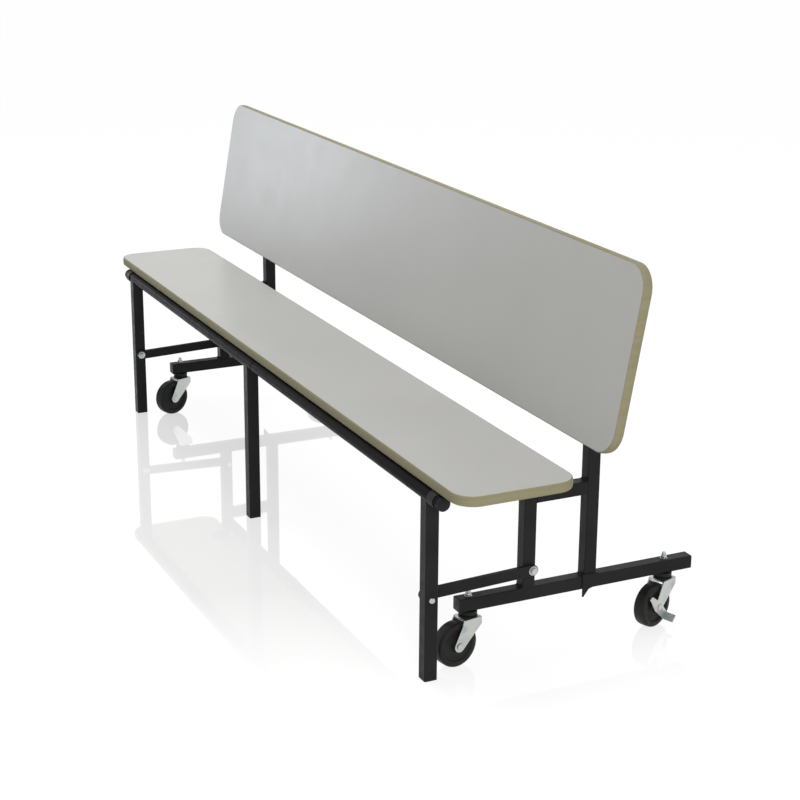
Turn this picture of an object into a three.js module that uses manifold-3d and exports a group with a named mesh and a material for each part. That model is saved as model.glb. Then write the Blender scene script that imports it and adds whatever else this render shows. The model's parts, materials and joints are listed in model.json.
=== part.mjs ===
// Mobile convertible bench: a long seat board and a tilting back panel on a wheeled steel frame.
// The seat folds up on a parallelogram with its front legs, and the back swings flat as a table top.
// Millimetres, +Z up, +X towards the right end seen from the front, -Y towards the front.
// The origin is on the floor, midway along the bench and midway between its front and rear faces.

import * as THREE from 'three';
import { mergeVertices } from 'three/addons/utils/BufferGeometryUtils.js';
import Module from 'manifold-3d';

const wasm = await Module();
wasm.setup();

// Driving dimensions
const FIT = 0.3; // gap between neighbouring pieces
const TUBE = 30; // square frame tube, outside
const TUBE_WALL = 2;
const TUBE_CORNER = 3;
const BOLT_RADIUS = 4;
const BOLT_HEAD_RADIUS = 7;
const BOLT_HEAD_HEIGHT = 5;
const BOLT_END = 7; // thread left past the last piece for a nut

const BOARD_THICKNESS = 22; // laminated boards
const BAND_THICKNESS = 3; // vinyl edge band
const SEAT_LENGTH = 2248;
const SEAT_DEPTH = 275;
const SEAT_HEIGHT = 453;
const SEAT_CORNER = 50;
const SEAT_SETBACK = 9; // seat front edge behind the front face of the legs
const BACK_OVERHANG = 23; // back past each end of the seat
const BACK_LENGTH = SEAT_LENGTH + 2 * BACK_OVERHANG;
const BACK_HEIGHT = 398;
const BACK_CORNER = 58;
const BACK_TILT = THREE.MathUtils.degToRad(10);
const BACK_OVER_SEAT = 40.5; // lower front edge of the back above the seat
const BACK_BEFORE_UPRIGHT = 88; // lower front edge of the back before the rear upright's middle
const TABLE_HEIGHT = 737; // top of the back panel when it is laid flat

const END_FRAME_INSET = 188; // middle of each end frame from the seat's end
const END_FRAME_SPACING = SEAT_LENGTH - 2 * END_FRAME_INSET;
const RAIL_FRONT = 103; // front end of the base rail behind the front face of the legs
const RAIL_BEHIND_UPRIGHT = 262; // rear end of the base rail behind the rear upright's middle
const UPRIGHT_SPACING = 153; // between the middles of the front and rear uprights
const UPRIGHT_OVER_PIVOT = 38.8; // top of the rear upright above the back pivot
const ARM_UNDER_SEAT = 90; // underside of the seat arm below the seat board
const STRETCHER_DEPTH = 20; // front to back; it is as high as the frame's tube
const STRETCHER_UNDER_TOP = 1.5; // top of the stretcher under the end of the front upright's tube

const HINGE_FROM_SEAT_REAR = 13; // seat hinge axis before the rear edge of the seat
const HINGE_DROP = 10; // seat hinge axis under the seat board
const HINGE_FROM_UPRIGHT = 4; // seat hinge axis behind the front upright's middle
const LUG_RADIUS = 8.5;
const LUG_HEIGHT = 17; // hinge axis above the end of the upright's tube
const BRACKET_PLATE = 3;
const BRACKET_LENGTH = 60;
const BRACKET_BASE = 32; // length of the bracket's flat under the seat
const EAR_RADIUS = 9.5;
const PIN_END = 4; // pin left past the outer ear

const FRONT_TUBE_RADIUS = 15;
const FRONT_TUBE_WALL = 2;
const FRONT_TUBE_INSET = 88; // each end of the tube from the seat's end
const FRONT_TUBE_LENGTH = SEAT_LENGTH - 2 * FRONT_TUBE_INSET;
const FRONT_TUBE_DROP = 19; // tube axis under the seat board
const SEAM_GAP = 2.5; // open seam where the two halves of the front tube meet
const SPIGOT_LENGTH = 60; // reduced end of the left half inside the right half
const CENTRE_LEG_OFFSET = 36.5; // centre leg to the left of the middle
const CLIP_WIDTH = 24;
const CLIP_WALL = 2.2;
const CLIP_FROM_LEG = 4;
const CLIP_TAIL = 46; // clip's flat behind the tube axis
const CLIP_PLATE = 2.5;
const GLIDE_FLANGE = 4;
const GLIDE_PLUG = 16;

const LINK_HEIGHT = 25;
const LINK_THICKNESS = 9.4;
const LINK_PIVOT_RISE = 41.5; // link pivot on the upright above the base rail

const PIVOT_BEHIND_UPRIGHT = 42; // back pivot axis behind the rear upright's middle
const SWING_PLATE = 5;
const SWING_RADIUS = 34; // round end of the plates about the back pivot
const SWING_BASE = 150; // length of the swing bracket along the panel
const SWING_FLANGE = 34;
const FLANGE_THICKNESS = 4;
const PIVOT_BOLT_RADIUS = 6;
const PIVOT_HEAD_RADIUS = 10;
const PIVOT_HEAD_HEIGHT = 6;
const STOP_RADIUS = 24; // stop pin's distance from the back pivot
const STOP_PIN_RADIUS = 4;
const STOP_ANGLE = THREE.MathUtils.degToRad(-60); // stop pin's place about the back pivot
const SLOT_PLAY = 0.5;

const FOOT_PLATE_THICKNESS = 3;
const FOOT_PLATE_WIDTH = 40;
const FOOT_PLATE_RISE = 5; // above the base rail
const FOOT_PLATE_DROP = 17; // tip below the base rail
const FOOT_PLATE_TIP = 3; // blunt end of the tip
const FOOT_PLATE_POINT = 16; // width of the point where it leaves the base rail
const FOOT_PLATE_CHAMFER = 7;

const WHEEL_RADIUS = 50;
const WHEEL_WIDTH = 30;
const WHEEL_SHOULDER = 7;
const HUB_RADIUS = 15;
const HUB_WIDTH = 35;
const WHEEL_RECESS = 4; // hollow of the wheel's side between hub and tread
const CASTER_TRAIL = 35;
const CROWN_CLEARANCE = 3; // fork crown above the wheel
const FORK_PLATE = 3;
const FORK_TOP = 44;
const FORK_END_RADIUS = 13;
const HEAD_RADIUS = 20;
const HEAD_HEIGHT = 14.4;
const STEM_RADIUS = 5;
const STEM_END = 15; // stem above the base rail
const KING_PIN_RADIUS = 5;
const KING_HEAD_RADIUS = 8;
const KING_HEAD_HEIGHT = 4;
const AXLE_RADIUS = 5;
const AXLE_HEAD_RADIUS = 8;
const AXLE_HEAD_HEIGHT = 4;
const FRONT_CASTER = 25.5; // swivel axis from the front end of the base rail
const REAR_CASTER = 63; // swivel axis from the rear end of the base rail
const BRAKE_PLATE = 2.5;
const BRAKE_WIDTH = 24;
const BRAKE_FRONT = 46; // reach of the lever's nose before its axle
const BRAKE_NOSE = 6; // radius of the nose
const BRAKE_REAR = 36; // reach of the lever behind its axle
const BRAKE_SLOPE = THREE.MathUtils.degToRad(-42);
const BRAKE_OFFSET = -3; // middle of the lever from the axle, square to its length
const PEDAL_REACH = 26;
const PEDAL_THICKNESS = 3;

// Turn of each caster at rest, about +Z
const CASTER_TURN = {
  front_left: THREE.MathUtils.degToRad(18),
  front_right: THREE.MathUtils.degToRad(10),
  rear_left: THREE.MathUtils.degToRad(14),
  rear_right: THREE.MathUtils.degToRad(20),
};

// Places worked out from the dimensions; Y is measured from the front face of the legs
const END_X = END_FRAME_SPACING / 2;
const LEG_X = END_X + TUBE + LINK_THICKNESS + 2 * FIT;
const LEG_Y = TUBE / 2;
const SEAT_UNDER = SEAT_HEIGHT - BOARD_THICKNESS;
const SEAT_REAR = SEAT_SETBACK + SEAT_DEPTH;
const HINGE_Y = SEAT_REAR - HINGE_FROM_SEAT_REAR;
const HINGE_Z = SEAT_UNDER - HINGE_DROP;
const FRONT_UPRIGHT_Y = HINGE_Y - HINGE_FROM_UPRIGHT;
const FRONT_UPRIGHT_TOP = HINGE_Z - LUG_HEIGHT;
const REAR_UPRIGHT_Y = FRONT_UPRIGHT_Y + UPRIGHT_SPACING;
const HEAD_BASE = 2 * WHEEL_RADIUS + CROWN_CLEARANCE + FORK_PLATE + FIT;
const RAIL_Z = HEAD_BASE + HEAD_HEIGHT + FIT;
const RAIL_TOP = RAIL_Z + TUBE;
const RAIL_REAR = REAR_UPRIGHT_Y + RAIL_BEHIND_UPRIGHT;
const ARM_Z = SEAT_UNDER - ARM_UNDER_SEAT;
const FRONT_TUBE_Z = SEAT_UNDER - FRONT_TUBE_DROP;
const LINK_PIVOT_Y = HINGE_Y;
const LINK_PIVOT_Z = RAIL_TOP + LINK_PIVOT_RISE;
const LEG_PIVOT_Z = LINK_PIVOT_Z - (HINGE_Z - FRONT_TUBE_Z);
const BACK_Y = REAR_UPRIGHT_Y - BACK_BEFORE_UPRIGHT;
const BACK_Z = SEAT_HEIGHT + BACK_OVER_SEAT;
const PIVOT_Y = REAR_UPRIGHT_Y + PIVOT_BEHIND_UPRIGHT;
// The pivot's height brings the front face of the panel to the table height once it lies flat.
const PIVOT_RISE = (TABLE_HEIGHT - BACK_Z - (PIVOT_Y - BACK_Y) * Math.cos(BACK_TILT)) / (1 - Math.sin(BACK_TILT));
const PIVOT_Z = BACK_Z + PIVOT_RISE;
const REAR_UPRIGHT_TOP = PIVOT_Z + UPRIGHT_OVER_PIVOT;
const PIVOT_BEHIND_FACE = (PIVOT_Y - BACK_Y) * Math.cos(BACK_TILT) - PIVOT_RISE * Math.sin(BACK_TILT);
const PIVOT_UP_PANEL = (PIVOT_Y - BACK_Y) * Math.sin(BACK_TILT) + PIVOT_RISE * Math.cos(BACK_TILT);
const FLIP_ANGLE = Math.PI / 2 - BACK_TILT;
const FRONT_FACE = LEG_Y - FRONT_TUBE_RADIUS - FIT - CLIP_WALL;
const MIDDLE_Y = (FRONT_FACE + RAIL_REAR) / 2;

const FINE = 16; // sides of a small round
const ROUND = 32; // sides of a large round

// Finishes
const finish = (color, roughness, metalness) => new THREE.MeshStandardMaterial({ color, roughness, metalness });
const BLACK_PAINT = finish(0x2b2b2c, 0.45, 0.2);
const LAMINATE = finish(0xc4c4c2, 0.5, 0);
const VINYL = finish(0x9c997d, 0.6, 0);
const ZINC = finish(0xc9cfd0, 0.3, 1);
const WHEEL_RUBBER = finish(0x262424, 0.7, 0);
const BLACK_PLASTIC = finish(0x1c1c1d, 0.6, 0);

// A closed three.js geometry as a solid for joining and cutting
function solid(geometry) {
  const bare = geometry.clone();
  bare.deleteAttribute('normal');
  bare.deleteAttribute('uv');
  const merged = mergeVertices(bare, 1e-4);
  return new wasm.Manifold(
    new wasm.Mesh({
      numProp: 3,
      vertProperties: merged.attributes.position.array,
      triVerts: new Uint32Array(merged.index.array),
    }),
  );
}

// A solid back as a three.js geometry with flat faces
function geometryOf(made) {
  const mesh = made.getMesh();
  const geometry = new THREE.BufferGeometry();
  geometry.setAttribute('position', new THREE.BufferAttribute(new Float32Array(mesh.vertProperties), 3));
  geometry.setIndex(new THREE.BufferAttribute(new Uint32Array(mesh.triVerts), 1));
  const faceted = geometry.toNonIndexed();
  faceted.computeVertexNormals();
  return faceted;
}

const join = (...pieces) => geometryOf(pieces.map(solid).reduce((whole, next) => whole.add(next)));
const cut = (piece, ...tools) => geometryOf(tools.map(solid).reduce((whole, next) => whole.subtract(next), solid(piece)));

// Outlines of rectangles about the middle, with round or sharp corners
function roundedRectangle(width, height, radius, Kind = THREE.Shape) {
  const outline = new Kind();
  const x = width / 2 - radius;
  const y = height / 2 - radius;
  outline.absarc(x, y, radius, 0, Math.PI / 2);
  outline.absarc(-x, y, radius, Math.PI / 2, Math.PI);
  outline.absarc(-x, -y, radius, Math.PI, 1.5 * Math.PI);
  outline.absarc(x, -y, radius, 1.5 * Math.PI, 2 * Math.PI);
  outline.closePath();
  return outline;
}

function rectangle(width, height) {
  const corners = [
    [-width / 2, -height / 2],
    [width / 2, -height / 2],
    [width / 2, height / 2],
    [-width / 2, height / 2],
  ];
  return new THREE.Path(corners.map(([x, y]) => new THREE.Vector2(x, y)));
}

function extrude(shape, depth, curveSegments) {
  return new THREE.ExtrudeGeometry(shape, { depth, bevelEnabled: false, curveSegments });
}

// A plate drawn in the Y and Z directions, extruded along +X from a given x
const ACROSS = new THREE.Matrix4().makeBasis(
  new THREE.Vector3(0, 1, 0),
  new THREE.Vector3(0, 0, 1),
  new THREE.Vector3(1, 0, 0),
);
function plateAcross(shape, x, thickness, curveSegments = 8) {
  return extrude(shape, thickness, curveSegments).applyMatrix4(ACROSS).translate(x, 0, 0);
}

// A round bar along X or Z between two ends
function barX(radius, x0, x1, y, z, sides = FINE) {
  return new THREE.CylinderGeometry(radius, radius, x1 - x0, sides)
    .rotateZ(Math.PI / 2)
    .translate((x0 + x1) / 2, y, z);
}
function barZ(radius, z0, z1, x, y, sides = FINE) {
  return new THREE.CylinderGeometry(radius, radius, z1 - z0, sides)
    .rotateX(Math.PI / 2)
    .translate(x, y, (z0 + z1) / 2);
}

// A box between two opposite corners
function block(x0, y0, z0, x1, y1, z1) {
  return new THREE.BoxGeometry(x1 - x0, y1 - y0, z1 - z0).translate((x0 + x1) / 2, (y0 + y1) / 2, (z0 + z1) / 2);
}

// The frame's tube, square unless a depth is given, hollow and open at both ends, along +Z from the origin
function frameTube(length, depth = TUBE) {
  const section = roundedRectangle(TUBE, depth, TUBE_CORNER);
  section.holes.push(rectangle(TUBE - 2 * TUBE_WALL, depth - 2 * TUBE_WALL));
  return extrude(section, length, 2);
}
const tubeUp = (x, y, z0, z1) => frameTube(z1 - z0).translate(x, y, z0);
const tubeBack = (x, z, y0, y1) => frameTube(y1 - y0).rotateX(-Math.PI / 2).translate(x, y0, z);
const tubeAlong = (y, z, x0, x1, depth) => frameTube(x1 - x0, depth).rotateY(Math.PI / 2).translate(x0, y, z);

// A turned piece about X: profile points are [radius, place along the axis], from one end to the other
function turned(profile, sides) {
  const points = profile.map(([radius, along]) => new THREE.Vector2(radius, along));
  return new THREE.LatheGeometry(points, sides);
}
const turnedAlongX = (profile, sides) => turned(profile, sides).rotateZ(-Math.PI / 2);
const turnedUp = (profile, sides) => turned(profile, sides).rotateX(Math.PI / 2);

const bench = new THREE.Group();
bench.position.y = -MIDDLE_Y;

function add(name, geometry, material, parent = bench) {
  const mesh = new THREE.Mesh(geometry, material);
  mesh.name = name;
  parent.add(mesh);
}

// End frames: base rail, two uprights, seat arm and foot plate, welded from square tube
const SIDES = [
  ['left', -1],
  ['right', 1],
];
const CASTER_Y = {
  front: RAIL_FRONT + FRONT_CASTER,
  rear: RAIL_REAR - REAR_CASTER,
};

function baseRail(side) {
  const x = side * END_X;
  const stemHole = (y) => barZ(STEM_RADIUS + FIT, RAIL_Z - TUBE, RAIL_TOP + TUBE, x, y);
  return cut(
    tubeBack(x, RAIL_Z + TUBE / 2, RAIL_FRONT, RAIL_REAR),
    stemHole(CASTER_Y.front),
    stemHole(CASTER_Y.rear),
  );
}

// The upright carries a hinge lug on its open end and a cross hole for the link's pivot bolt.
function frontUpright(side) {
  const x = side * END_X;
  const lug = new THREE.Shape();
  lug.moveTo(HINGE_Y - LUG_RADIUS, FRONT_UPRIGHT_TOP - TUBE_WALL);
  lug.lineTo(HINGE_Y + LUG_RADIUS, FRONT_UPRIGHT_TOP - TUBE_WALL);
  lug.absarc(HINGE_Y, HINGE_Z, LUG_RADIUS, 0, Math.PI);
  lug.closePath();
  const inner = x - TUBE / 2;
  const body = join(
    tubeUp(x, FRONT_UPRIGHT_Y, RAIL_TOP + FIT, FRONT_UPRIGHT_TOP),
    plateAcross(lug, inner, TUBE),
  );
  const boltHole = (y, z) => barX(BOLT_RADIUS + FIT, inner - TUBE, inner + 2 * TUBE, y, z);
  return cut(body, boltHole(HINGE_Y, HINGE_Z), boltHole(LINK_PIVOT_Y, LINK_PIVOT_Z));
}

const rearUpright = (side) => tubeUp(side * END_X, REAR_UPRIGHT_Y, RAIL_TOP + FIT, REAR_UPRIGHT_TOP);

function seatArm(side) {
  const front = FRONT_UPRIGHT_Y + TUBE / 2 + FIT;
  const rear = REAR_UPRIGHT_Y - TUBE / 2 - FIT;
  return tubeBack(side * END_X, ARM_Z + TUBE / 2, front, rear);
}

// Plate on the outer side of the rail under the rear upright, with a pointed lower front corner
function footPlate(side) {
  const front = REAR_UPRIGHT_Y - FOOT_PLATE_WIDTH / 2;
  const rear = REAR_UPRIGHT_Y + FOOT_PLATE_WIDTH / 2;
  const outline = new THREE.Shape();
  outline.moveTo(front, RAIL_TOP + FOOT_PLATE_RISE);
  outline.lineTo(front, RAIL_Z - FOOT_PLATE_DROP);
  outline.lineTo(front + FOOT_PLATE_TIP, RAIL_Z - FOOT_PLATE_DROP);
  outline.lineTo(front + FOOT_PLATE_POINT, RAIL_Z);
  outline.lineTo(rear, RAIL_Z + FOOT_PLATE_CHAMFER);
  outline.lineTo(rear, RAIL_TOP + FOOT_PLATE_RISE);
  outline.closePath();
  const inside = END_X + TUBE / 2 + FIT;
  return plateAcross(outline, side > 0 ? inside : -inside - FOOT_PLATE_THICKNESS, FOOT_PLATE_THICKNESS);
}

// Bolt along X with a round head; towards is +1 or -1, the way its thread points
function boltX(headFace, length, towards, y, z) {
  const bolt = turnedAlongX(
    [
      [0, -BOLT_HEAD_HEIGHT],
      [BOLT_HEAD_RADIUS, -BOLT_HEAD_HEIGHT],
      [BOLT_HEAD_RADIUS, 0],
      [BOLT_RADIUS, 0],
      [BOLT_RADIUS, length],
      [0, length],
    ],
    FINE,
  );
  return (towards < 0 ? bolt.rotateZ(Math.PI) : bolt).translate(headFace, y, z);
}

for (const [name, side] of SIDES) {
  add(`base_rail_${name}`, baseRail(side), BLACK_PAINT);
  add(`front_upright_${name}`, frontUpright(side), BLACK_PAINT);
  add(`rear_upright_${name}`, rearUpright(side), BLACK_PAINT);
  add(`seat_arm_${name}`, seatArm(side), BLACK_PAINT);
  add(`foot_plate_${name}`, footPlate(side), BLACK_PAINT);
}

// Stretcher between the two front uprights, flush with their rear faces and hidden under the seat;
// it stays behind the middle leg when the legs are folded
const STRETCHER_Y = FRONT_UPRIGHT_Y + (TUBE - STRETCHER_DEPTH) / 2;
const STRETCHER_Z = FRONT_UPRIGHT_TOP - STRETCHER_UNDER_TOP - TUBE / 2;
const STRETCHER_END = END_X - TUBE / 2 - FIT;
add(
  'stretcher',
  tubeAlong(STRETCHER_Y, STRETCHER_Z, -STRETCHER_END, STRETCHER_END, STRETCHER_DEPTH),
  BLACK_PAINT,
);

// Boards: a laminated core with a vinyl band around its edge, drawn flat about the middle
function boardCore(length, depth, corner) {
  const inset = BAND_THICKNESS + FIT;
  return extrude(roundedRectangle(length - 2 * inset, depth - 2 * inset, corner - inset), BOARD_THICKNESS, 6);
}
function boardBand(length, depth, corner) {
  const inset = BAND_THICKNESS;
  const outline = roundedRectangle(length, depth, corner);
  outline.holes.push(roundedRectangle(length - 2 * inset, depth - 2 * inset, corner - inset, THREE.Path));
  return extrude(outline, BOARD_THICKNESS, 6);
}

// Seat board, lying flat
const seatPlace = [0, SEAT_SETBACK + SEAT_DEPTH / 2, SEAT_UNDER];
add('seat_board', boardCore(SEAT_LENGTH, SEAT_DEPTH, SEAT_CORNER).translate(...seatPlace), LAMINATE);
add('seat_edge_band', boardBand(SEAT_LENGTH, SEAT_DEPTH, SEAT_CORNER).translate(...seatPlace), VINYL);

// Seat hinge: a bracket under the seat straddles the lug on the upright, on a headed pin
function hingeBracket(side) {
  const x = side * END_X;
  const top = SEAT_UNDER - FIT;
  const rear = HINGE_Y + EAR_RADIUS;
  const front = rear - BRACKET_LENGTH;
  const ear = new THREE.Shape();
  ear.moveTo(front, top);
  ear.lineTo(front + BRACKET_PLATE, top - 2 * BRACKET_PLATE);
  ear.absarc(HINGE_Y, HINGE_Z, EAR_RADIUS, 1.5 * Math.PI, 2 * Math.PI);
  ear.lineTo(rear, top);
  ear.closePath();
  const inner = TUBE / 2 + FIT;
  const outer = inner + BRACKET_PLATE;
  const body = join(
    plateAcross(ear, x - outer, BRACKET_PLATE),
    plateAcross(ear, x + inner, BRACKET_PLATE),
    block(x - outer, front, top - BRACKET_PLATE, x + outer, front + BRACKET_BASE, top),
  );
  return cut(body, barX(BOLT_RADIUS + FIT, x - 2 * outer, x + 2 * outer, HINGE_Y, HINGE_Z));
}
function hingePin(side) {
  const earFace = TUBE / 2 + 2 * FIT + BRACKET_PLATE;
  return boltX(side * (END_X - earFace), 2 * earFace + PIN_END, side, HINGE_Y, HINGE_Z);
}

// Clip at each end of the front tube: a ring round the tube with a flat screwed under the seat
function tubeClip(side) {
  const inner = FRONT_TUBE_RADIUS + FIT;
  const outer = inner + CLIP_WALL;
  const top = SEAT_UNDER - FIT;
  const ring = new THREE.Shape();
  ring.absarc(LEG_Y, FRONT_TUBE_Z, outer, 0, Math.PI);
  ring.absarc(LEG_Y, FRONT_TUBE_Z, outer, Math.PI, 2 * Math.PI);
  const bore = barX(inner, -LEG_X - TUBE * 4, LEG_X + TUBE * 4, LEG_Y, FRONT_TUBE_Z, ROUND);
  const start = LEG_X + TUBE / 2 + CLIP_FROM_LEG;
  const x = side > 0 ? start : -start - CLIP_WIDTH;
  const flat = block(x, LEG_Y, top - CLIP_PLATE, x + CLIP_WIDTH, LEG_Y + CLIP_TAIL, top);
  return cut(join(plateAcross(ring, x, CLIP_WIDTH, ROUND / 4), flat), bore);
}

for (const [name, side] of SIDES) {
  add(`seat_hinge_bracket_${name}`, hingeBracket(side), BLACK_PAINT);
  add(`seat_hinge_pin_${name}`, hingePin(side), ZINC);
  add(`tube_clip_${name}`, tubeClip(side), BLACK_PAINT);
}

// Front tube in two halves that plug together at the middle; it turns in the clips with its legs
function frontTubeHalf(side) {
  const radius = FRONT_TUBE_RADIUS;
  const bore = radius - FRONT_TUBE_WALL;
  const start = SEAM_GAP / 2;
  const end = FRONT_TUBE_LENGTH / 2;
  const spigot = side < 0;
  const x0 = side > 0 ? start : -end;
  const x1 = side > 0 ? end : -start;
  const pipe = barX(radius, x0, x1, LEG_Y, FRONT_TUBE_Z, ROUND);
  const hollow = (r, from, to) => barX(r, from, to, LEG_Y, FRONT_TUBE_Z, ROUND);
  if (!spigot) return cut(pipe, hollow(bore, x0 - TUBE, x1 + TUBE));
  const plugged = join(pipe, hollow(bore - FIT, x1 - SPIGOT_LENGTH, SPIGOT_LENGTH));
  return cut(plugged, hollow(bore - FIT - FRONT_TUBE_WALL, x0 - TUBE, SPIGOT_LENGTH + TUBE));
}

// Legs: square tube, coped to the front tube, on plastic glides
function leg(x, hasPivot) {
  const tube = tubeUp(x, LEG_Y, GLIDE_FLANGE + FIT, FRONT_TUBE_Z);
  const reach = TUBE;
  const cope = barX(FRONT_TUBE_RADIUS + FIT, x - reach, x + reach, LEG_Y, FRONT_TUBE_Z, ROUND);
  if (!hasPivot) return cut(tube, cope);
  return cut(tube, cope, barX(BOLT_RADIUS + FIT, x - reach, x + reach, LEG_Y, LEG_PIVOT_Z));
}
function footGlide(x) {
  const plug = TUBE / 2 - TUBE_WALL - FIT;
  const flange = extrude(roundedRectangle(TUBE, TUBE, TUBE_CORNER), GLIDE_FLANGE, 2).translate(x, LEG_Y, 0);
  return join(
    flange,
    block(x - plug, LEG_Y - plug, GLIDE_FLANGE / 2, x + plug, LEG_Y + plug, GLIDE_FLANGE + GLIDE_PLUG),
  );
}

const LEGS = [
  ['left', -LEG_X, true],
  ['centre', -CENTRE_LEG_OFFSET, false],
  ['right', LEG_X, true],
];
for (const [name, x, hasPivot] of LEGS) {
  add(`leg_${name}`, leg(x, hasPivot), BLACK_PAINT);
  add(`foot_glide_${name}`, footGlide(x), BLACK_PLASTIC);
}

// Links: flat bars from the end legs to the front uprights, parallel to the line between the seat's pivots
function link(side) {
  const radius = LINK_HEIGHT / 2;
  const slope = Math.atan2(LINK_PIVOT_Z - LEG_PIVOT_Z, LINK_PIVOT_Y - LEG_Y);
  const bar = new THREE.Shape();
  bar.absarc(LEG_Y, LEG_PIVOT_Z, radius, slope + Math.PI / 2, slope + 1.5 * Math.PI);
  bar.absarc(LINK_PIVOT_Y, LINK_PIVOT_Z, radius, slope - Math.PI / 2, slope + Math.PI / 2);
  bar.closePath();
  const inner = END_X + TUBE / 2 + FIT;
  const x = side > 0 ? inner : -inner - LINK_THICKNESS;
  const far = LEG_X + TUBE;
  return cut(
    plateAcross(bar, x, LINK_THICKNESS, 10),
    barX(BOLT_RADIUS + FIT, -far, far, LEG_Y, LEG_PIVOT_Z),
    barX(BOLT_RADIUS + FIT, -far, far, LINK_PIVOT_Y, LINK_PIVOT_Z),
  );
}

for (const [name, side] of SIDES) {
  const headFace = TUBE / 2 + FIT;
  const boltLength = TUBE + LINK_THICKNESS + 2 * FIT + BOLT_END;
  add(`front_tube_${name}`, frontTubeHalf(side), BLACK_PAINT);
  add(`link_${name}`, link(side), BLACK_PAINT);
  add(
    `link_upright_bolt_${name}`,
    boltX(side * (END_X - headFace), boltLength, side, LINK_PIVOT_Y, LINK_PIVOT_Z),
    ZINC,
  );
  add(
    `link_leg_bolt_${name}`,
    boltX(side * (LEG_X + headFace), boltLength, -side, LEG_Y, LEG_PIVOT_Z),
    ZINC,
  );
}

// Back panel group: local +Z runs up the panel and local +Y lies behind its front face
const back = new THREE.Group();
back.position.set(0, BACK_Y, BACK_Z);
back.rotation.x = -BACK_TILT;
bench.add(back);

const standing = (geometry) => geometry.rotateX(Math.PI / 2).translate(0, BOARD_THICKNESS, BACK_HEIGHT / 2);
add('back_panel', standing(boardCore(BACK_LENGTH, BACK_HEIGHT, BACK_CORNER)), LAMINATE, back);
add('back_edge_band', standing(boardBand(BACK_LENGTH, BACK_HEIGHT, BACK_CORNER)), VINYL, back);

// Swing bracket: a web from the panel to the pivot with a flange screwed to the panel's rear.
// A curved slot in the web runs on the stop pin and ends where the back stands or lies flat.
const PLATE_OUTER = END_X - TUBE / 2 - FIT;
const PLATE_INNER = PLATE_OUTER - SWING_PLATE;
const WEB_OUTER = PLATE_INNER - FIT;
const WEB_INNER = WEB_OUTER - SWING_PLATE;
const PANEL_REAR = BOARD_THICKNESS + FIT;

function swingBracket(side) {
  const low = PIVOT_UP_PANEL - SWING_BASE / 2;
  const high = PIVOT_UP_PANEL + SWING_BASE / 2;
  const web = new THREE.Shape();
  web.moveTo(PANEL_REAR, low);
  web.lineTo(PANEL_REAR + FLANGE_THICKNESS, low);
  web.absarc(PIVOT_BEHIND_FACE, PIVOT_UP_PANEL, SWING_RADIUS, -Math.PI / 2, Math.PI / 2);
  web.lineTo(PANEL_REAR + FLANGE_THICKNESS, high);
  web.lineTo(PANEL_REAR, high);
  web.closePath();

  const start = STOP_ANGLE + BACK_TILT;
  const end = start + FLIP_ANGLE;
  const half = STOP_PIN_RADIUS + SLOT_PLAY;
  const tip = (angle) => [
    PIVOT_BEHIND_FACE + STOP_RADIUS * Math.cos(angle),
    PIVOT_UP_PANEL + STOP_RADIUS * Math.sin(angle),
  ];
  const slot = new THREE.Path();
  slot.absarc(PIVOT_BEHIND_FACE, PIVOT_UP_PANEL, STOP_RADIUS + half, start, end);
  slot.absarc(...tip(end), half, end, end + Math.PI);
  slot.absarc(PIVOT_BEHIND_FACE, PIVOT_UP_PANEL, STOP_RADIUS - half, end, start, true);
  slot.absarc(...tip(start), half, start + Math.PI, start + 2 * Math.PI);
  slot.closePath();
  const hole = new THREE.Path();
  hole.absarc(PIVOT_BEHIND_FACE, PIVOT_UP_PANEL, PIVOT_BOLT_RADIUS + FIT, 0, 2 * Math.PI);
  web.holes.push(slot, hole);

  const webX = side > 0 ? WEB_INNER : -WEB_OUTER;
  const flangeEnd = WEB_INNER + SWING_FLANGE;
  const flange = block(
    side > 0 ? WEB_INNER : -flangeEnd,
    PANEL_REAR,
    low,
    side > 0 ? flangeEnd : -WEB_INNER,
    PANEL_REAR + FLANGE_THICKNESS,
    high,
  );
  return join(plateAcross(web, webX, SWING_PLATE, 10), flange);
}

// Pivot plate welded inside the rear upright, with the stop pin on it
function pivotPlate(side) {
  const front = REAR_UPRIGHT_Y - TUBE / 2 + TUBE_CORNER;
  const outline = new THREE.Shape();
  outline.moveTo(front, PIVOT_Z - SWING_RADIUS);
  outline.absarc(PIVOT_Y, PIVOT_Z, SWING_RADIUS, -Math.PI / 2, Math.PI / 2);
  outline.lineTo(front, PIVOT_Z + SWING_RADIUS);
  outline.closePath();
  const hole = new THREE.Path();
  hole.absarc(PIVOT_Y, PIVOT_Z, PIVOT_BOLT_RADIUS + FIT, 0, 2 * Math.PI);
  outline.holes.push(hole);
  const pinEnds = [side * (WEB_INNER - FIT), side * (PLATE_OUTER - SWING_PLATE / 2)].sort((a, b) => a - b);
  const pin = barX(
    STOP_PIN_RADIUS,
    ...pinEnds,
    PIVOT_Y + STOP_RADIUS * Math.cos(STOP_ANGLE),
    PIVOT_Z + STOP_RADIUS * Math.sin(STOP_ANGLE),
  );
  return join(plateAcross(outline, side > 0 ? PLATE_INNER : -PLATE_OUTER, SWING_PLATE, 10), pin);
}

function pivotBolt(side) {
  const headFace = WEB_INNER - FIT;
  const headEnd = headFace - PIVOT_HEAD_HEIGHT;
  const end = PLATE_OUTER + BOLT_END;
  const spans = (from, to) => [side * from, side * to].sort((a, b) => a - b);
  return join(
    barX(PIVOT_HEAD_RADIUS, ...spans(headEnd, headFace), PIVOT_Y, PIVOT_Z),
    barX(PIVOT_BOLT_RADIUS, ...spans(headEnd + FIT, end), PIVOT_Y, PIVOT_Z),
  );
}

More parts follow.
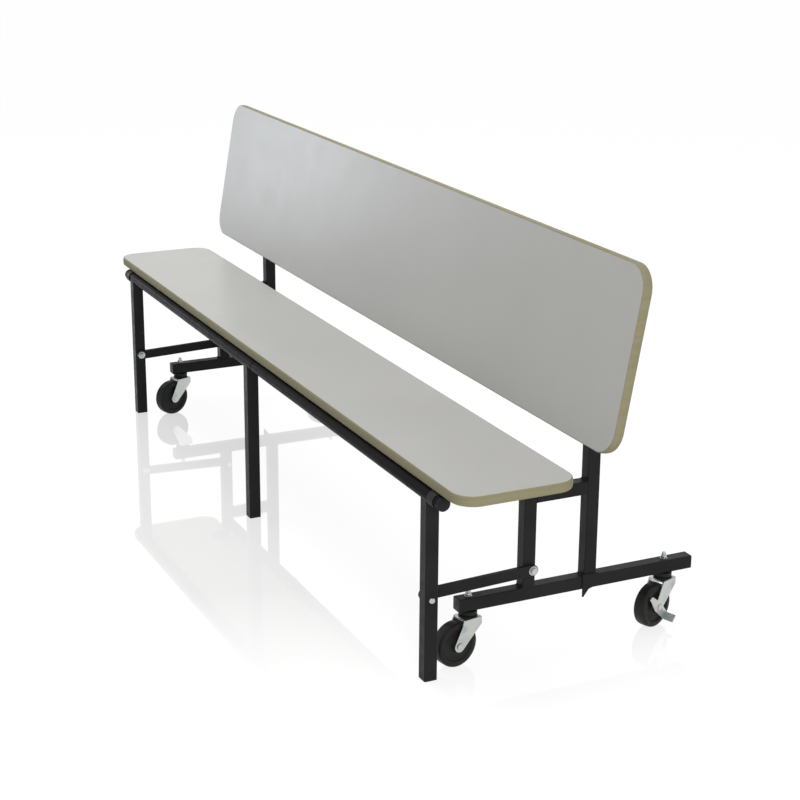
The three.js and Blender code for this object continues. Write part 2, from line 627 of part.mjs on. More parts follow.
for (const [name, side] of SIDES) {
  add(`back_swing_bracket_${name}`, swingBracket(side), BLACK_PAINT, back);
  add(`back_pivot_plate_${name}`, pivotPlate(side), BLACK_PAINT);
  add(`back_pivot_bolt_${name}`, pivotBolt(side), ZINC);
}

// Rail along the rear of the panel, between the two swing brackets
const BACK_RAIL_END = WEB_INNER - FIT;
add(
  'back_rail',
  tubeAlong(PANEL_REAR + TUBE / 2, PIVOT_UP_PANEL, -BACK_RAIL_END, BACK_RAIL_END),
  BLACK_PAINT,
  back,
);

// Casters: the local origin is on the floor under the stem, and the wheel trails towards local -Y
const FORK_INNER = HUB_WIDTH / 2 + FIT;
const FORK_OUTER = FORK_INNER + FORK_PLATE;
const CROWN_Z = 2 * WHEEL_RADIUS + CROWN_CLEARANCE;

function casterHead() {
  const crownTop = CROWN_Z + FORK_PLATE;
  return turnedUp(
    [
      [0, CROWN_Z - FIT - KING_HEAD_HEIGHT],
      [KING_HEAD_RADIUS, CROWN_Z - FIT - KING_HEAD_HEIGHT],
      [KING_HEAD_RADIUS, CROWN_Z - FIT],
      [KING_PIN_RADIUS, CROWN_Z - FIT],
      [KING_PIN_RADIUS, crownTop + FIT],
      [HEAD_RADIUS - HEAD_HEIGHT / 4, crownTop + FIT],
      [HEAD_RADIUS, crownTop + FIT + HEAD_HEIGHT / 4],
      [HEAD_RADIUS, HEAD_BASE + HEAD_HEIGHT],
      [STEM_RADIUS, HEAD_BASE + HEAD_HEIGHT],
      [STEM_RADIUS, RAIL_TOP + STEM_END],
      [0, RAIL_TOP + STEM_END],
    ],
    FINE,
  );
}

function casterFork() {
  const half = FORK_TOP / 2;
  const top = CROWN_Z + FORK_PLATE;
  const reach = Math.hypot(CASTER_TRAIL, CROWN_Z - WHEEL_RADIUS);
  const lean = Math.atan2(CASTER_TRAIL, CROWN_Z - WHEEL_RADIUS);
  const open = Math.asin(Math.min(1, (half - FORK_END_RADIUS) / reach));
  const side = new THREE.Shape();
  side.moveTo(half, top);
  side.lineTo(-half, top);
  side.absarc(-CASTER_TRAIL, WHEEL_RADIUS, FORK_END_RADIUS, Math.PI - lean + open, 2 * Math.PI - lean - open);
  side.lineTo(half, CROWN_Z - FORK_END_RADIUS);
  side.closePath();
  const body = join(
    plateAcross(side, -FORK_OUTER, FORK_PLATE),
    plateAcross(side, FORK_INNER, FORK_PLATE),
    block(-FORK_OUTER, -half, CROWN_Z, FORK_OUTER, half, top),
  );
  return cut(
    body,
    barX(AXLE_RADIUS + FIT, -2 * FORK_OUTER, 2 * FORK_OUTER, -CASTER_TRAIL, WHEEL_RADIUS),
    barZ(KING_PIN_RADIUS + FIT, CROWN_Z - top, 2 * top, 0, 0),
  );
}

function casterWheel() {
  const tread = WHEEL_WIDTH / 2;
  const flat = tread - WHEEL_SHOULDER / 2;
  const hub = HUB_WIDTH / 2;
  const web = tread - WHEEL_RECESS;
  const half = [
    [AXLE_RADIUS + FIT, hub],
    [HUB_RADIUS, hub],
    [HUB_RADIUS + 1, web],
    [WHEEL_RADIUS - 2 * WHEEL_SHOULDER, web],
    [WHEEL_RADIUS - WHEEL_SHOULDER / 2, tread],
    [WHEEL_RADIUS, flat],
  ];
  const other = half.map(([radius, along]) => [radius, -along]);
  const profile = [...other, ...half.reverse()];
  profile.push(profile[0]);
  return turnedAlongX(profile, ROUND).translate(0, -CASTER_TRAIL, WHEEL_RADIUS);
}

// The axle has a head at both ends; a braked caster's axle also holds the brake lever
function casterAxle(leverSide) {
  const lever = BRAKE_PLATE + FIT;
  const left = -FORK_OUTER - FIT - (leverSide < 0 ? lever : 0);
  const right = FORK_OUTER + FIT + (leverSide > 0 ? lever : 0);
  return turnedAlongX(
    [
      [0, left - AXLE_HEAD_HEIGHT],
      [AXLE_HEAD_RADIUS, left - AXLE_HEAD_HEIGHT],
      [AXLE_HEAD_RADIUS, left],
      [AXLE_RADIUS, left],
      [AXLE_RADIUS, right],
      [AXLE_HEAD_RADIUS, right],
      [AXLE_HEAD_RADIUS, right + AXLE_HEAD_HEIGHT],
      [0, right + AXLE_HEAD_HEIGHT],
    ],
    FINE,
  ).translate(0, -CASTER_TRAIL, WHEEL_RADIUS);
}

// Brake lever: a sloping plate on the axle outside the fork, with a narrow nose at its front end
// and a pedal bent outwards at its rear end
function brakeLever(side) {
  const radius = BRAKE_WIDTH / 2;
  const plate = new THREE.Shape();
  plate.absarc(-BRAKE_FRONT + BRAKE_NOSE, 0, BRAKE_NOSE, Math.PI / 2, 1.5 * Math.PI);
  plate.lineTo(-radius, BRAKE_OFFSET - radius);
  plate.lineTo(BRAKE_REAR, BRAKE_OFFSET - radius);
  plate.lineTo(BRAKE_REAR, BRAKE_OFFSET + radius / 2);
  plate.lineTo(-radius / 2, BRAKE_OFFSET + radius);
  plate.closePath();
  const hole = new THREE.Path();
  hole.absarc(0, 0, AXLE_RADIUS + FIT, 0, 2 * Math.PI);
  plate.holes.push(hole);
  const inside = FORK_OUTER + FIT;
  const outside = inside + PEDAL_REACH;
  const pedal = block(
    side > 0 ? inside : -outside,
    BRAKE_REAR - PEDAL_THICKNESS,
    BRAKE_OFFSET - radius,
    side > 0 ? outside : -inside,
    BRAKE_REAR,
    BRAKE_OFFSET + radius / 2,
  );
  const x = side > 0 ? inside : -inside - BRAKE_PLATE;
  return join(plateAcross(plate, x, BRAKE_PLATE), pedal)
    .rotateX(BRAKE_SLOPE)
    .translate(0, -CASTER_TRAIL, WHEEL_RADIUS);
}

for (const end of ['front', 'rear']) {
  for (const [name, side] of SIDES) {
    const place = `${end}_${name}`;
    const braked = end === 'rear';
    const caster = new THREE.Group();
    caster.position.set(side * END_X, CASTER_Y[end], 0);
    caster.rotation.z = CASTER_TURN[place];
    bench.add(caster);
    add(`caster_head_${place}`, casterHead(), ZINC, caster);
    add(`caster_fork_${place}`, casterFork(), ZINC, caster);
    add(`caster_wheel_${place}`, casterWheel(), WHEEL_RUBBER, caster);
    add(`caster_axle_${place}`, casterAxle(braked ? side : 0), ZINC, caster);
    if (braked) add(`brake_lever_${place}`, brakeLever(side), ZINC, caster);
  }
}

export default bench;
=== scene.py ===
import json
import math

import bmesh
import bpy
from mathutils import Color, Matrix, Vector


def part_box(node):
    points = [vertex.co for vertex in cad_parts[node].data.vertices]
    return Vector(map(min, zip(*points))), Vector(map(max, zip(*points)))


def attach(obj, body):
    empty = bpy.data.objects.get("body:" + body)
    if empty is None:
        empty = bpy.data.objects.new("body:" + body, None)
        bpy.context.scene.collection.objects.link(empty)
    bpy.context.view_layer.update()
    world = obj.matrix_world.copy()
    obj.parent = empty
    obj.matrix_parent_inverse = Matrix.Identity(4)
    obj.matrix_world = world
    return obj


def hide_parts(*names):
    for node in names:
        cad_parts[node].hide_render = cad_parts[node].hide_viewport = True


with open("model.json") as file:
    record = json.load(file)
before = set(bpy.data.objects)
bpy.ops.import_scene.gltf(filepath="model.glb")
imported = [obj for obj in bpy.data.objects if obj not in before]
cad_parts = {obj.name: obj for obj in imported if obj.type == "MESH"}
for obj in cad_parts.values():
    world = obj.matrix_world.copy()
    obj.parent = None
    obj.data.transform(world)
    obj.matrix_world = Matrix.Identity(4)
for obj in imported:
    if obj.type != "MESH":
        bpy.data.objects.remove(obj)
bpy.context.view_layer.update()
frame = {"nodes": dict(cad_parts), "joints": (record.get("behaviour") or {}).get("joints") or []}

# View
# The bench is seen from its right end, a little above the back panel, with a long lens.
# The camera's place, turn and focal length were fitted to the edges of the boards and legs.
CAMERA_PLACE = (4.0426, -1.86276, 1.7278)
CAMERA_TURN = math.radians(64.403)
CAMERA_PITCH = math.radians(-17.999)
CAMERA_ROLL = math.radians(0.401)
FOCAL_PIXELS = 1809.3
PICTURE_WIDTH = 800
SENSOR_WIDTH = 36

lens = bpy.data.cameras.new("camera")
lens.sensor_width = SENSOR_WIDTH
lens.lens = FOCAL_PIXELS * SENSOR_WIDTH / PICTURE_WIDTH
camera = bpy.data.objects.new("camera", lens)
bpy.context.scene.collection.objects.link(camera)
camera.matrix_world = (
    Matrix.Translation(CAMERA_PLACE)
    @ Matrix.Rotation(CAMERA_TURN, 4, "Z")
    @ Matrix.Rotation(math.pi / 2 + CAMERA_PITCH, 4, "X")
    @ Matrix.Rotation(CAMERA_ROLL, 4, "Z")
)
bpy.context.scene.camera = camera

# End frames
# Each end is welded from square steel tube, a base rail with two uprights and a short seat arm,
# with a pointed foot plate under the rear upright and a plate for the back's pivot near its top.
# A stretcher tube under the seat joins the two ends, and all of it is sprayed satin black.
SIDES = {"left": -1, "right": 1}
FRAME_PARTS = (
    "base_rail",
    "front_upright",
    "rear_upright",
    "seat_arm",
    "foot_plate",
    "back_pivot_plate",
)
EDGE_EASE = 0.0007
EASE_STEPS = 2
SHARP_ANGLE = math.radians(35)
FLAT_ANGLE = math.radians(1)
MERGE_DISTANCE = 1e-6
NOISE_LOW = 0.3
NOISE_HIGH = 0.7

nodes = frame["nodes"]


def tone(red, green, blue):
    """A display colour from 0 to 255 as the linear colour that a shader takes."""
    display = Color((red / 255, green / 255, blue / 255))
    return (*display.from_srgb_to_scene_linear(), 1)


def add_node(tree, kind, values=None, **settings):
    """A new node with its settings, and with fixed values on some of its inputs."""
    node = tree.nodes.new(kind)
    for name, value in settings.items():
        setattr(node, name, value)
    for name, value in (values or {}).items():
        node.inputs[name].default_value = value
    return node


def ramp(tree, value, stops):
    """A colour ramp from a value, with stops of (position, colour)."""
    node = tree.nodes.new("ShaderNodeValToRGB")
    while len(node.color_ramp.elements) < len(stops):
        node.color_ramp.elements.new(0.5)
    for element, (position, colour) in zip(node.color_ramp.elements, stops):
        element.position = position
        element.color = colour
    tree.links.new(value, node.inputs["Fac"])
    return node.outputs["Color"]


def mottle(tree, value, dark, pale, low=NOISE_LOW, high=NOISE_HIGH):
    """A colour that drifts from a dark to a pale tone as a noise value rises."""
    return ramp(tree, value, [(low, tone(*dark)), (high, tone(*pale))])


def noise(tree, scale, detail, stretch=None):
    """A noise value over the piece, with its grain stretched along an axis if asked."""
    place = tree.nodes.new("ShaderNodeTexCoord").outputs["Object"]
    if stretch:
        mapping = add_node(tree, "ShaderNodeMapping", {"Scale": stretch})
        tree.links.new(place, mapping.inputs["Vector"])
        place = mapping.outputs["Vector"]
    texture = add_node(tree, "ShaderNodeTexNoise", {"Scale": scale, "Detail": detail})
    tree.links.new(place, texture.inputs["Vector"])
    return texture.outputs["Fac"]


def span(tree, value, low, high):
    """A noise value, from where it mostly lies, spread over a range."""
    node = add_node(
        tree,
        "ShaderNodeMapRange",
        {"From Min": NOISE_LOW, "From Max": NOISE_HIGH, "To Min": low, "To Max": high},
    )
    tree.links.new(value, node.inputs["Value"])
    return node.outputs["Result"]


def blend_tone(tree, factor, colour, other):
    """A varying colour, mixed towards a fixed tone by a factor."""
    node = add_node(tree, "ShaderNodeMix", data_type="RGBA")
    first, second = [socket for socket in node.inputs if socket.type == "RGBA"]
    tree.links.new(colour, first)
    second.default_value = other
    tree.links.new(factor, node.inputs["Factor"])
    return next(socket for socket in node.outputs if socket.type == "RGBA")


# Paler edges are masked where a rounded corner's normal departs from the face's own normal; each
# material says what its paler edge stands for.
pale_edge_mask = bpy.data.node_groups.new("pale_edge_mask", "ShaderNodeTree")
pale_edge_mask.interface.new_socket("Width", in_out="INPUT", socket_type="NodeSocketFloat")
pale_edge_mask.interface.new_socket("Amount", in_out="INPUT", socket_type="NodeSocketFloat")
pale_edge_mask.interface.new_socket("Mask", in_out="OUTPUT", socket_type="NodeSocketFloat")
mask_input = pale_edge_mask.nodes.new("NodeGroupInput")
mask_output = pale_edge_mask.nodes.new("NodeGroupOutput")
rounded = add_node(pale_edge_mask, "ShaderNodeBevel", samples=6)
surface = pale_edge_mask.nodes.new("ShaderNodeNewGeometry")
meet = add_node(pale_edge_mask, "ShaderNodeVectorMath", operation="DOT_PRODUCT")
depart = add_node(pale_edge_mask, "ShaderNodeMath", {0: 1.0}, operation="SUBTRACT")
patchy = add_node(pale_edge_mask, "ShaderNodeMath", operation="MULTIPLY")
strong = add_node(pale_edge_mask, "ShaderNodeMath", operation="MULTIPLY", use_clamp=True)
patches = span(pale_edge_mask, noise(pale_edge_mask, scale=60, detail=5), low=0, high=4)
pale_edge_mask.links.new(mask_input.outputs["Width"], rounded.inputs["Radius"])
pale_edge_mask.links.new(rounded.outputs["Normal"], meet.inputs[0])
pale_edge_mask.links.new(surface.outputs["Normal"], meet.inputs[1])
pale_edge_mask.links.new(meet.outputs["Value"], depart.inputs[1])
pale_edge_mask.links.new(depart.outputs[0], patchy.inputs[0])
pale_edge_mask.links.new(patches, patchy.inputs[1])
pale_edge_mask.links.new(patchy.outputs[0], strong.inputs[0])
pale_edge_mask.links.new(mask_input.outputs["Amount"], strong.inputs[1])
pale_edge_mask.links.new(strong.outputs[0], mask_output.inputs["Mask"])


def pale_edges(tree, width, amount):
    """The mask of paler edges, from a place of the group in a material."""
    node = add_node(tree, "ShaderNodeGroup", node_tree=pale_edge_mask)
    node.inputs["Width"].default_value = width
    node.inputs["Amount"].default_value = amount
    return node.outputs["Mask"]


def new_finish(name):
    """A new material with its node tree and its main shader."""
    material = bpy.data.materials.new(name)
    material.use_nodes = True
    return material, material.node_tree, material.node_tree.nodes["Principled BSDF"]


def lay_on(tree, shader, colour, roughness):
    """Give the shader its varying colour and roughness."""
    tree.links.new(colour, shader.inputs["Base Color"])
    tree.links.new(roughness, shader.inputs["Roughness"])


def roughen(tree, shader, height, depth):
    """Give the shader a fine grain from a height value, as deep as asked."""
    bump = add_node(tree, "ShaderNodeBump", {"Strength": 1.0, "Distance": depth})
    tree.links.new(height, bump.inputs["Height"])
    tree.links.new(bump.outputs["Normal"], shader.inputs["Normal"])


black_paint, tree, shader = new_finish("satin_black_paint")
coat = mottle(tree, noise(tree, scale=9, detail=4), (27, 27, 28), (34, 34, 34), low=0.35, high=0.65)
# The coat is mixed to a paler grey along its rounded edges.
pale_edged_coat = blend_tone(tree, pale_edges(tree, width=0.0012, amount=1.2), coat, tone(70, 70, 68))
lay_on(tree, shader, pale_edged_coat, span(tree, noise(tree, scale=35, detail=5), low=0.36, high=0.5))
shader.inputs["Specular IOR Level"].default_value = 0.1
roughen(tree, shader, noise(tree, scale=900, detail=2), depth=0.00006)


def new_piece(name, shape, material, smooth=True):
    """A piece from a bmesh, with its faces shaded smooth up to the sharp edges."""
    mesh = bpy.data.meshes.new(name)
    shape.to_mesh(mesh)
    shape.free()
    mesh.materials.append(material)
    if smooth:
        mesh.shade_smooth()
        mesh.set_sharp_from_angle(angle=SHARP_ANGLE)
    piece = bpy.data.objects.new(name, mesh)
    bpy.context.scene.collection.objects.link(piece)
    return piece


def eased_copy(node, material, body, ease=EDGE_EASE):
    """A solid's own shape with its edges rounded over, standing for that solid."""
    shape = bmesh.new()
    shape.from_mesh(nodes[node].data)
    bmesh.ops.remove_doubles(shape, verts=shape.verts, dist=MERGE_DISTANCE)
    bmesh.ops.dissolve_limit(shape, angle_limit=FLAT_ANGLE, verts=shape.verts, edges=shape.edges)
    piece = new_piece(f"eased_{node}", shape, material)
    rounding = piece.modifiers.new("rounded_edges", "BEVEL")
    rounding.width = ease
    rounding.segments = EASE_STEPS
    rounding.limit_method = "ANGLE"
    rounding.angle_limit = SHARP_ANGLE
    shading = piece.modifiers.new("flat_shading", "WEIGHTED_NORMAL")
    shading.keep_sharp = True
    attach(piece, body)
    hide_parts(node)
    return piece


for name in SIDES:
    for part in FRAME_PARTS:
        eased_copy(f"{part}_{name}", black_paint, "frame")
eased_copy("stretcher", black_paint, "frame")

# Weld beads
# Short runs of overlapping beads close the corners where the uprights stand on the rail
# and where the seat arm meets the two uprights; they are sprayed over with the frame.
BEAD_RADIUS = 0.0021
BEAD_PITCH = 0.0024
BEAD_STRETCH = (0.9, 1.05, 1.05, 1)
BEAD_INSET = 0.003

beads = bmesh.new()


def weld_run(start, end):
    """A row of beads from one point to another."""
    run = Vector(end) - Vector(start)
    for step in range(int(run.length / BEAD_PITCH) + 1):
        place = Vector(start) + run.normalized() * BEAD_PITCH * step
        bead = Matrix.Translation(place) @ Matrix.Diagonal(BEAD_STRETCH)
        bmesh.ops.create_icosphere(beads, subdivisions=1, radius=BEAD_RADIUS, matrix=bead)


for name in SIDES:
    rail_low, rail_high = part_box(f"base_rail_{name}")
    arm_low, arm_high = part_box(f"seat_arm_{name}")
    first_x = rail_low.x + BEAD_INSET
    last_x = rail_high.x - BEAD_INSET
    for part in ("front_upright", "rear_upright"):
        low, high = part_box(f"{part}_{name}")
        for y in (low.y, high.y):
            weld_run((first_x, y, rail_high.z), (last_x, y, rail_high.z))
    for y in (arm_low.y, arm_high.y):
        for z in (arm_low.z, arm_high.z):
            weld_run((first_x, y, z), (last_x, y, z))
welds = new_piece("frame_weld_beads", beads, black_paint)
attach(welds, "frame")

# Tube plugs
# Moulded plastic plugs close the open ends of the base rails and the tops of the rear uprights.
# Each has a thin flange with rounded edges on a core that is pushed into the tube.
PLUG_FLANGE = 0.0025
PLUG_DEPTH = 0.012
PLUG_WALL = 0.0024
PLUG_CORNER = 0.003
PLUG_EDGE = 0.0012

black_plastic, tree, shader = new_finish("moulded_black_plastic")
tint = mottle(tree, noise(tree, scale=22, detail=4), (18, 18, 19), (25, 25, 25))
lay_on(tree, shader, tint, span(tree, noise(tree, scale=120, detail=3), low=0.42, high=0.6))
shader.inputs["Specular IOR Level"].default_value = 0.2
roughen(tree, shader, noise(tree, scale=1500, detail=2), depth=0.00008)


def round_over(shape, geometry, radius, segments, affect="EDGES"):
    """Round some edges or corners of a bmesh over."""
    bmesh.ops.bevel(
        shape,
        geom=geometry,
        offset=radius,
        offset_type="OFFSET",
        affect=affect,
        segments=segments,
        profile=0.5,
        material=-1,
    )


def rise(edge):
    """How far an edge climbs from one end to the other."""
    return abs(edge.verts[0].co.z - edge.verts[1].co.z)


def set_along(shape, origin, axis):
    """Move a shape that was made about the Z axis to an origin, and turn it along an axis."""
    turn = Vector((0, 0, 1)).rotation_difference(Vector(axis)).to_matrix().to_4x4()
    bmesh.ops.transform(shape, matrix=Matrix.Translation(origin) @ turn, verts=shape.verts)


def tube_plug(name, centre, outward, size):
    """A square plug whose flange sits on the tube's end at centre and faces outward."""
    shape = bmesh.new()
    made = bmesh.ops.create_cube(shape, size=1)
    flat = Matrix.Diagonal((size, size, PLUG_FLANGE, 1))
    flange = Matrix.Translation((0, 0, PLUG_FLANGE / 2)) @ flat
    bmesh.ops.transform(shape, matrix=flange, verts=made["verts"])
    upright = [edge for edge in shape.edges if rise(edge) > PLUG_FLANGE / 2]
    round_over(shape, upright, PLUG_CORNER, segments=4)
    top = [edge for edge in shape.edges if min(v.co.z for v in edge.verts) > PLUG_FLANGE / 2]
    round_over(shape, top, PLUG_EDGE, segments=3)
    core = size - 2 * PLUG_WALL
    deep = Matrix.Diagonal((core, core, PLUG_DEPTH, 1))
    inside = Matrix.Translation((0, 0, -PLUG_DEPTH / 2)) @ deep
    bmesh.ops.create_cube(shape, size=1, matrix=inside)
    set_along(shape, centre, outward)
    piece = new_piece(name, shape, black_plastic)
    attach(piece, "frame")


for name in SIDES:
    rail_low, rail_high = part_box(f"base_rail_{name}")
    middle = (rail_low + rail_high) / 2
    tube_size = rail_high.x - rail_low.x
    front_end = (middle.x, rail_low.y, middle.z)
    rear_end = (middle.x, rail_high.y, middle.z)
    tube_plug(f"rail_plug_front_{name}", front_end, (0, -1, 0), tube_size)
    tube_plug(f"rail_plug_rear_{name}", rear_end, (0, 1, 0), tube_size)
    low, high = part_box(f"rear_upright_{name}")
    upper_end = ((low.x + high.x) / 2, (low.y + high.y) / 2, high.z)
    tube_plug(f"upright_plug_{name}", upper_end, (0, 0, 1), tube_size)

# Seat board
# A wood core with grey laminate on its upper face and a plain backing sheet underneath,
# cut with rounded corners. A vinyl band with a crowned face is pressed round its edge.
CORNER_STEPS = 14
BAND_DEPTH = 0.003
BAND_CROWN = 0.0026
BAND_CUTS = 9
BAND_SEAM = 0.0003
SEAT_CORNER = 0.050

laminate, tree, shader = new_finish("grey_laminate")
cloud = mottle(tree, noise(tree, scale=2.2, detail=4), (167, 167, 164), (173, 173, 170))
fleck = span(tree, noise(tree, scale=1100, detail=2), low=0, high=0.16)
flecked = blend_tone(tree, fleck, cloud, tone(138, 138, 135))
lay_on(tree, shader, flecked, span(tree, noise(tree, scale=16, detail=5), low=0.3, high=0.33))
roughen(tree, shader, noise(tree, scale=1400, detail=2), depth=0.000015)

backing, tree, shader = new_finish("board_backing_sheet")
sheet_tone = mottle(tree, noise(tree, scale=5, detail=5), (132, 129, 123), (144, 141, 135))
lay_on(tree, shader, sheet_tone, span(tree, noise(tree, scale=40, detail=4), low=0.5, high=0.68))
roughen(tree, shader, noise(tree, scale=700, detail=3), depth=0.00008)

vinyl, tree, shader = new_finish("olive_tan_vinyl")
streak = noise(tree, scale=90, detail=4, stretch=(0.05, 0.05, 1.0))
vinyl_tone = mottle(tree, streak, (130, 126, 101), (139, 135, 110))
# A painted highlight: the band's rounded edges are mixed to a paler tan that stands for light caught
# on them.
sheen_mix = blend_tone(tree, pale_edges(tree, width=0.0015, amount=0.25), vinyl_tone, tone(155, 151, 128))
lay_on(tree, shader, sheen_mix, span(tree, noise(tree, scale=45, detail=4), low=0.46, high=0.6))
shader.inputs["Specular IOR Level"].default_value = 0.06
roughen(tree, shader, noise(tree, scale=800, detail=2), depth=0.00006)


def rounded_blank(length, depth, corner):
    """A flat blank with round corners about the origin, as one face."""
    shape = bmesh.new()
    corners = [(-1, -1), (1, -1), (1, 1), (-1, 1)]
    points = [shape.verts.new((x * length / 2, y * depth / 2, 0)) for x, y in corners]
    shape.faces.new(points)
    round_over(shape, shape.verts[:], corner, CORNER_STEPS, affect="VERTICES")
    return shape


def thicken(shape, thickness):
    """Extrude the blank upwards, close it, and turn its faces outwards."""
    made = bmesh.ops.extrude_face_region(shape, geom=shape.faces[:], use_keep_orig=True)
    raised = [item for item in made["geom"] if isinstance(item, bmesh.types.BMVert)]
    bmesh.ops.translate(shape, vec=(0, 0, thickness), verts=raised)
    bmesh.ops.recalc_face_normals(shape, faces=shape.faces)


def board_core(name, length, depth, corner, thickness, place):
    """A board with its laminated face on top of the blank and the backing under it."""
    inset = BAND_DEPTH + BAND_SEAM
    shape = rounded_blank(length - 2 * inset, depth - 2 * inset, corner - inset)
    thicken(shape, thickness)
    for face in shape.faces:
        face.material_index = 1 if face.normal.z < -0.5 else 0
    bmesh.ops.transform(shape, matrix=place, verts=shape.verts)
    piece = new_piece(name, shape, laminate)
    piece.data.materials.append(backing)
    return piece


def board_band(name, length, depth, corner, thickness, place):
    """A band round the board's edge, with its outer face crowned from upper to lower edge."""
    shape = rounded_blank(length, depth, corner)
    outer = shape.faces[:]
    bmesh.ops.inset_region(
        shape, faces=outer, thickness=BAND_DEPTH, use_even_offset=True, use_boundary=True
    )
    bmesh.ops.delete(shape, geom=outer, context="FACES")
    thicken(shape, thickness)
    reach_x, reach_y = length / 2 - corner, depth / 2 - corner

    def inside_point(vertex):
        """The point that the outline's rounded corner or straight edge is offset from."""
        x, y, z = vertex.co
        return Vector((min(max(x, -reach_x), reach_x), min(max(y, -reach_y), reach_y), z))

    def on_rim(vertex):
        return (vertex.co - inside_point(vertex)).length > corner - BAND_DEPTH / 2

    rim_edges = [edge for edge in shape.edges if all(on_rim(v) for v in edge.verts)]
    upright = [edge for edge in rim_edges if rise(edge) > thickness / 2]
    bmesh.ops.subdivide_edges(shape, edges=upright, cuts=BAND_CUTS)
    for vertex in [v for v in shape.verts if on_rim(v)]:
        angle = (vertex.co.z / thickness - 0.5) * math.pi
        pull = BAND_CROWN * (1 - math.cos(angle)) / corner
        vertex.co = vertex.co.lerp(inside_point(vertex), pull)
        vertex.co.z = thickness / 2 * (1 + math.sin(angle))
    bmesh.ops.transform(shape, matrix=place, verts=shape.verts)
    return new_piece(name, shape, vinyl)


seat_low, seat_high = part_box("seat_edge_band")
seat_mid = (seat_low + seat_high) / 2
board_thickness = seat_high.z - seat_low.z
seat_size = (seat_high.x - seat_low.x, seat_high.y - seat_low.y, SEAT_CORNER, board_thickness)
seat_place = Matrix.Translation((seat_mid.x, seat_mid.y, seat_low.z))
seat_board = board_core("laminated_seat_board", *seat_size, seat_place)
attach(seat_board, "seat")
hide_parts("seat_board")
seat_band = board_band("seat_vinyl_band", *seat_size, seat_place)
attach(seat_band, "seat")
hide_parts("seat_edge_band")

# Seat hinges and tube clips
# Bent steel brackets under the seat straddle the lugs on the front uprights, and ring clips
# near the seat's ends hold the front tube. Both are held by pan head screws.
SHEET_EASE = 0.0005
BRACKET_PLATE = 0.003
BRACKET_SCREW_INSET = 0.016
BRACKET_SCREW_OFFSETS = (-0.008, 0.008)
CLIP_PLATE = 0.0025
CLIP_SCREW_INSET = 0.012
CLIP_SCREW_OFFSETS = (-0.006, 0.006)
SCREW_RADIUS = 0.0042
SCREW_RISE = 0.0024
# Pan head from its middle round to its recess, as shares of its radius and its rise
PAN_HEAD = [(0, 0), (1, 0), (0.97, 0.35), (0.78, 0.8), (0.42, 1), (0.3, 0.45), (0, 0.4)]

for name in SIDES:
    for part in ("seat_hinge_bracket", "tube_clip"):
        eased_copy(f"{part}_{name}", black_paint, "seat", SHEET_EASE)

zinc, tree, shader = new_finish("bright_zinc_plate")
plated = ramp(
    tree,
    noise(tree, scale=38, detail=4),
    [(0.3, tone(166, 175, 176)), (0.5, tone(187, 192, 191)), (0.7, tone(195, 194, 186))],
)
lay_on(tree, shader, plated, span(tree, noise(tree, scale=150, detail=5), low=0.22, high=0.4))
shader.inputs["Metallic"].default_value = 1
roughen(tree, shader, noise(tree, scale=420, detail=3), depth=0.000025)


def turned(profile, origin, axis, steps):
    """A piece turned about an axis; profile points are (radius, distance along the axis)."""
    shape = bmesh.new()
    closed = profile[0] == profile[-1]
    points = profile[:-1] if closed else profile
    rim = [shape.verts.new((radius, 0, along)) for radius, along in points]
    chain = list(zip(rim, rim[1:])) + ([(rim[-1], rim[0])] if closed else [])
    edges = [shape.edges.new(pair) for pair in chain]
    bmesh.ops.spin(
        shape,
        geom=rim + edges,
        cent=(0, 0, 0),
        axis=(0, 0, 1),
        angle=2 * math.pi,
        steps=steps,
        use_merge=True,
    )
    bmesh.ops.remove_doubles(shape, verts=shape.verts, dist=MERGE_DISTANCE)
    bmesh.ops.recalc_face_normals(shape, faces=shape.faces)
    set_along(shape, origin, axis)
    return shape


def gather(shapes):
    """Several bmeshes as one."""
    whole = bmesh.new()
    for shape in shapes:
        mesh = bpy.data.meshes.new("gathered")
        shape.to_mesh(mesh)
        shape.free()
        whole.from_mesh(mesh)
        bpy.data.meshes.remove(mesh)
    return whole


def screw_set(name, places, axis, body):
    """Domed screw heads with round recesses, standing on a surface at their places."""
    profile = [(SCREW_RADIUS * across, SCREW_RISE * up) for across, up in PAN_HEAD]
    heads = [turned(profile, place, axis, steps=20) for place in places]
    piece = new_piece(name, gather(heads), zinc)
    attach(piece, body)


seat_screws = []
for name in SIDES:
    low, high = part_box(f"seat_hinge_bracket_{name}")
    middle = (low + high) / 2
    for offset in BRACKET_SCREW_OFFSETS:
        screw_y = low.y + BRACKET_SCREW_INSET
        seat_screws.append((middle.x + offset, screw_y, high.z - BRACKET_PLATE))
    low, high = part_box(f"tube_clip_{name}")
    middle = (low + high) / 2
    for offset in CLIP_SCREW_OFFSETS:
        screw_y = high.y - CLIP_SCREW_INSET
        seat_screws.append((middle.x + offset, screw_y, high.z - CLIP_PLATE))
screw_set("seat_screws", seat_screws, (0, 0, -1), "seat")

# Front tube
# A round steel tube under the seat's front edge turns in the clips and carries the legs.
# Its two halves meet over a spigot at the middle, which leaves a dark seam, and domed plastic
# plugs close its ends.
PIPE_WALL = 0.002
PIPE_CHAMFER = 0.0006
SPIGOT_PLAY = 0.0004
CAP_DEPTH = 0.012
CAP_PLAY = 0.0002
CAP_LIP = 0.0003
CAP_RIM = 0.0016
# Dome of an end plug, as shares of the tube's radius and heights above its end
CAP_DOME = [(0.9, 0.0028), (0.62, 0.0038), (0.3, 0.0043), (0, 0.0045)]

pipe_paint, tree, shader = new_finish("glossy_black_tube")
coat = mottle(tree, noise(tree, scale=12, detail=4), (20, 20, 20), (27, 26, 26))
lay_on(tree, shader, coat, span(tree, noise(tree, scale=60, detail=4), low=0.28, high=0.38))
shader.inputs["Specular IOR Level"].default_value = 0.02
roughen(tree, shader, noise(tree, scale=700, detail=2), depth=0.00002)

